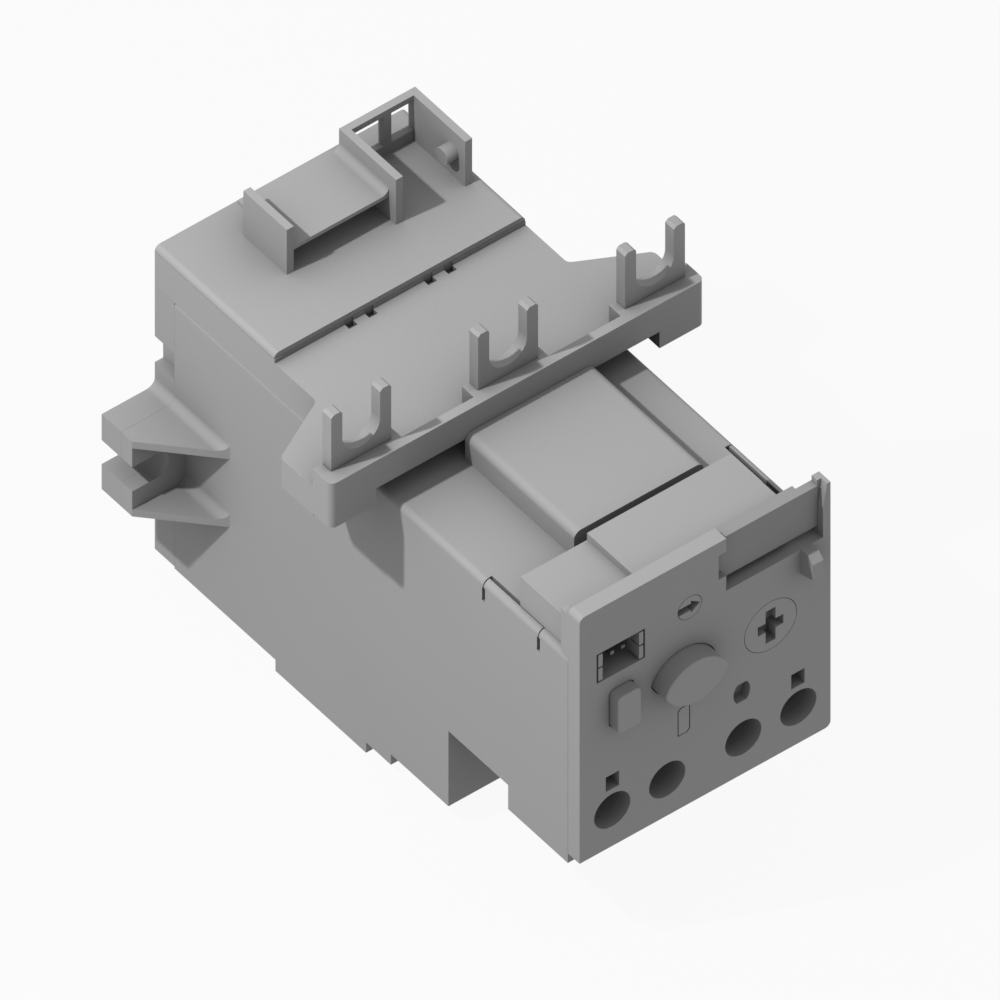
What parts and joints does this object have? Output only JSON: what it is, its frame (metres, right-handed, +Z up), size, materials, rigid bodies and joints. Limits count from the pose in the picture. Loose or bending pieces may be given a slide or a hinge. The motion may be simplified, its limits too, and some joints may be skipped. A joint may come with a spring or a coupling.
{
  "type": "overload relay",
  "caption": "Three-pole overload relay with fork terminals, slotted feet, setting dials, reset and test buttons and a hook bracket for a contactor.",
  "frame": {"origin": "centre of the bounding box on the plane that the part stands on", "axes": "+Z up towards the fork terminals, -Y towards the front plate, +X to the right seen from the front"},
  "size_m": [0.067, 0.1008, 0.0758],
  "materials": {
    "housing": "matte moulded thermoplastic with a very fine grain",
    "front": "matte moulded thermoplastic with a very fine grain",
    "controls": "matte moulded thermoplastic",
    "terminal_metal": "satin tin-plated copper",
    "screw_metal": "satin zinc-plated steel",
    "contact_metal": "rolled brass",
    "spring_steel": "drawn spring wire",
    "board": "glass-epoxy laminate",
    "inner_plastic": "matte moulded thermoplastic",
    "coil_iron": "laminated core and wound coil"
  },
  "bodies": {
    "housing": {"main_housing": "housing", "upper_housing": "housing", "rear_lid": "housing", "back_plate": "housing", "front_plate": "front", "marker_plate": "front", "control_block": "housing", "mid_cover": "housing", "back_screws": "screw_metal", "connector_shell": "controls", "connector_pins": "terminal_metal", "reset_spring": "spring_steel", "test_spring": "spring_steel", "test_switch": "inner_plastic", "setting_encoder": "inner_plastic", "class_switch": "inner_plastic", "mechanism_frame": "inner_plastic", "trip_coil": "coil_iron", "circuit_board": "board", "sensor_board": "board", "load_screws": "screw_metal", "aux_screws": "screw_metal", "aux_clamp_plates": "screw_metal", "phase_strip_left": "terminal_metal", "current_sensor_left": "coil_iron", "load_clamp_left": "screw_metal", "phase_strip_middle": "terminal_metal", "current_sensor_middle": "coil_iron", "load_clamp_middle": "screw_metal", "phase_strip_right": "terminal_metal", "current_sensor_right": "coil_iron", "load_clamp_right": "screw_metal", "aux_contact_opening_in": "terminal_metal", "aux_contact_opening_out": "terminal_metal", "aux_contact_closing_in": "terminal_metal", "aux_contact_closing_out": "terminal_metal"},
    "reset_button": {"reset_button": "controls"},
    "test_button": {"test_button": "controls"},
    "setting_dial": {"setting_dial": "controls"},
    "class_dial": {"class_dial": "controls"},
    "trip_slide": {"trip_flag": "controls", "contact_carrier": "inner_plastic", "opening_bridge": "contact_metal", "closing_bridge": "contact_metal"},
    "plunger": {"trip_plunger": "spring_steel"}
  },
  "joints": [
    {"name": "reset_press", "type": "slide", "parent": "housing", "child": "reset_button", "axis": [0, 1, 0], "range_m": [0, 0.0024], "stiffness_N_per_m": 400, "springref_m": -0.002, "deforming": ["reset_spring"]},
    {"name": "test_press", "type": "slide", "parent": "housing", "child": "test_button", "axis": [0, 1, 0], "range_m": [0, 0.0014], "stiffness_N_per_m": 400, "springref_m": -0.0015, "deforming": ["test_spring"]},
    {"name": "setting_turn", "type": "hinge", "parent": "housing", "child": "setting_dial", "pos_m": [0.01175, -0.04713, 0.043], "axis": [0, 1, 0], "range_deg": [-135, 135]},
    {"name": "class_turn", "type": "hinge", "parent": "housing", "child": "class_dial", "pos_m": [-0.00273, -0.04713, 0.0555], "axis": [0, 1, 0], "range_deg": [-120, 120]},
    {"name": "trip_move", "type": "slide", "parent": "housing", "child": "trip_slide", "axis": [0, -1, 0], "range_m": [0, 0.0012]},
    {"name": "plunger_move", "type": "slide", "parent": "housing", "child": "plunger", "axis": [0, -1, 0], "range_m": [0, 0.0012]}
  ],
  "couplings": [
    {"joint": "plunger_move", "follows": "trip_move", "ratio": 1}
  ]
}
